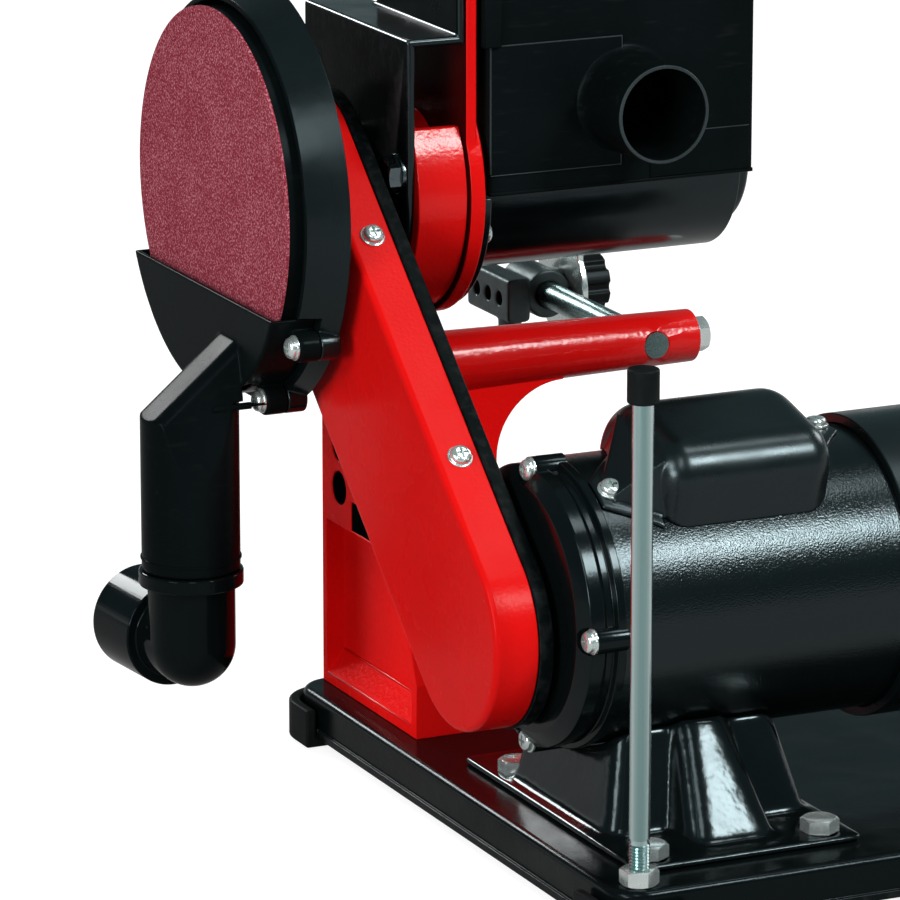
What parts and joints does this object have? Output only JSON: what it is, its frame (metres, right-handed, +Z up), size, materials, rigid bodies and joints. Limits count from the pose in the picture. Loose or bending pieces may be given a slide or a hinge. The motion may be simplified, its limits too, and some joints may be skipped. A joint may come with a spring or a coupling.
{
  "type": "belt and disc sander",
  "caption": "Bench sander with a tilting abrasive belt arm and an abrasive disc on one belt-driven spindle, motor behind, dust ports and an adjustable work table.",
  "frame": {"origin": "on the bench surface under the feet, in the middle of the machine's whole footprint", "axes": "+Z up, +X towards the disc side, +Y towards the rear where the motor is"},
  "size_m": [0.3148, 0.4302, 0.6403],
  "materials": {
    "red_paint": "glossy red powder coat",
    "black_paint": "glossy to satin black paint",
    "black_plastic": "moulded black plastic",
    "red_button": "glossy red plastic",
    "green_button": "glossy green plastic",
    "rubber": "black rubber",
    "zinc_steel": "zinc-plated steel",
    "cast_aluminium": "satin cast aluminium",
    "motor_iron": "laminated iron",
    "abrasive_paper": "brown-red abrasive paper",
    "abrasive_cloth": "brown-red abrasive cloth"
  },
  "bodies": {
    "base": {"stand": "red_paint", "drive_cover": "red_paint", "base_plate": "black_paint", "drive_cover_tray": "black_paint", "motor_shell": "black_paint", "motor_end_bell": "black_paint", "motor_rear_bell": "black_paint", "fan_cover": "black_paint", "capacitor_cover": "black_paint", "motor_foot": "black_paint", "disc_guard_ring": "black_paint", "bearing_housing": "black_paint", "disc_dust_cover": "black_plastic", "switch_box": "black_plastic", "cable_gland": "black_plastic", "capacitor": "black_plastic", "rubber_feet": "rubber", "support_rod_cap": "rubber", "drive_belt": "rubber", "stand_bolts": "zinc_steel", "dust_cover_screws": "zinc_steel", "drive_cover_screws": "zinc_steel", "motor_bell_screws": "zinc_steel", "capacitor_cover_screws": "zinc_steel", "motor_foot_bolts": "zinc_steel", "support_rod": "zinc_steel", "support_rod_nuts": "zinc_steel", "table_clamp_bolt": "zinc_steel", "spindle_bearings": "zinc_steel", "motor_bearings": "zinc_steel", "motor_stator": "motor_iron"},
    "spindle": {"spindle": "zinc_steel", "disc_plate": "cast_aluminium", "abrasive_disc": "abrasive_paper", "spindle_pulley": "cast_aluminium", "drive_drum": "cast_aluminium"},
    "rotor": {"motor_rotor": "motor_iron", "motor_pulley": "cast_aluminium", "cooling_fan": "black_plastic"},
    "belt_arm": {"arm_plate": "red_paint", "arm_bracket": "black_paint", "arm_lock_bolt": "zinc_steel", "arm_fasteners": "zinc_steel", "dust_hood": "black_paint", "drum_cover": "black_paint", "platen": "zinc_steel", "sanding_belt": "abrasive_cloth", "idler_guard": "black_paint"},
    "idler_carriage": {"idler_carriage": "zinc_steel"},
    "idler": {"idler_drum": "cast_aluminium"},
    "tension_lever": {"tension_lever": "zinc_steel"},
    "tracking_knob": {"tracking_knob": "black_plastic"},
    "table_arm": {"table_rod": "zinc_steel", "table_clamp": "cast_aluminium"},
    "table": {"work_table": "cast_aluminium", "table_quadrant": "zinc_steel"},
    "table_lock_knob": {"table_lock_knob": "black_plastic"},
    "dust_elbow": {"dust_elbow": "black_plastic"},
    "start_button": {"start_button": "green_button"},
    "stop_button": {"stop_button": "red_button"}
  },
  "joints": [
    {"name": "motor_spin", "type": "hinge", "parent": "base", "child": "rotor", "pos_m": [0, 0.10915, 0.105], "axis": [1, 0, 0], "continuous": true},
    {"name": "spindle_spin", "type": "hinge", "parent": "base", "child": "spindle", "pos_m": [0, -0.05485, 0.238], "axis": [1, 0, 0], "continuous": true},
    {"name": "arm_tilt", "type": "hinge", "parent": "base", "child": "belt_arm", "pos_m": [0, -0.05485, 0.238], "axis": [-1, 0, 0], "range_deg": [0, 90]},
    {"name": "belt_tension", "type": "slide", "parent": "belt_arm", "child": "idler_carriage", "axis": [0, 0, 1], "range_m": [-0.005, 0]},
    {"name": "idler_spin", "type": "hinge", "parent": "idler_carriage", "child": "idler", "pos_m": [0, -0.05485, 0.60031], "axis": [1, 0, 0], "continuous": true},
    {"name": "tension_lever_turn", "type": "hinge", "parent": "belt_arm", "child": "tension_lever", "pos_m": [0.02302, -0.05485, 0.55701], "axis": [-1, 0, 0], "range_deg": [0, 90]},
    {"name": "tracking_knob_turn", "type": "hinge", "parent": "belt_arm", "child": "tracking_knob", "pos_m": [0.02302, -0.05485, 0.62731], "axis": [1, 0, 0], "range_deg": [-180, 180]},
    {"name": "table_slide", "type": "slide", "parent": "base", "child": "table_arm", "axis": [0, 1, 0], "range_m": [-0.01, 0.008]},
    {"name": "table_tilt", "type": "hinge", "parent": "table_arm", "child": "table", "pos_m": [-0.08188, -0.15885, 0.1595], "axis": [1, 0, 0], "range_deg": [0, 45]},
    {"name": "table_lock_knob_turn", "type": "hinge", "parent": "table_arm", "child": "table_lock_knob", "pos_m": [-0.10438, -0.15885, 0.1595], "axis": [1, 0, 0], "range_deg": [-180, 180]},
    {"name": "elbow_swivel", "type": "hinge", "parent": "base", "child": "dust_elbow", "pos_m": [0.13212, -0.02785, 0.0638], "axis": [0, 0, 1], "range_deg": [-180, 180]},
    {"name": "start_press", "type": "slide", "parent": "base", "child": "start_button", "axis": [0, 1, 0], "range_m": [0, 0.003], "stiffness_N_per_m": 400},
    {"name": "stop_press", "type": "slide", "parent": "base", "child": "stop_button", "axis": [0, 1, 0], "range_m": [0, 0.003], "stiffness_N_per_m": 400}
  ],
  "couplings": [
    {"joint": "spindle_spin", "follows": "motor_spin", "ratio": 1},
    {"joint": "idler_spin", "follows": "motor_spin", "ratio": 1},
    {"joint": "tension_lever_turn", "follows": "belt_tension", "rad_per_m": -314.16}
  ]
}
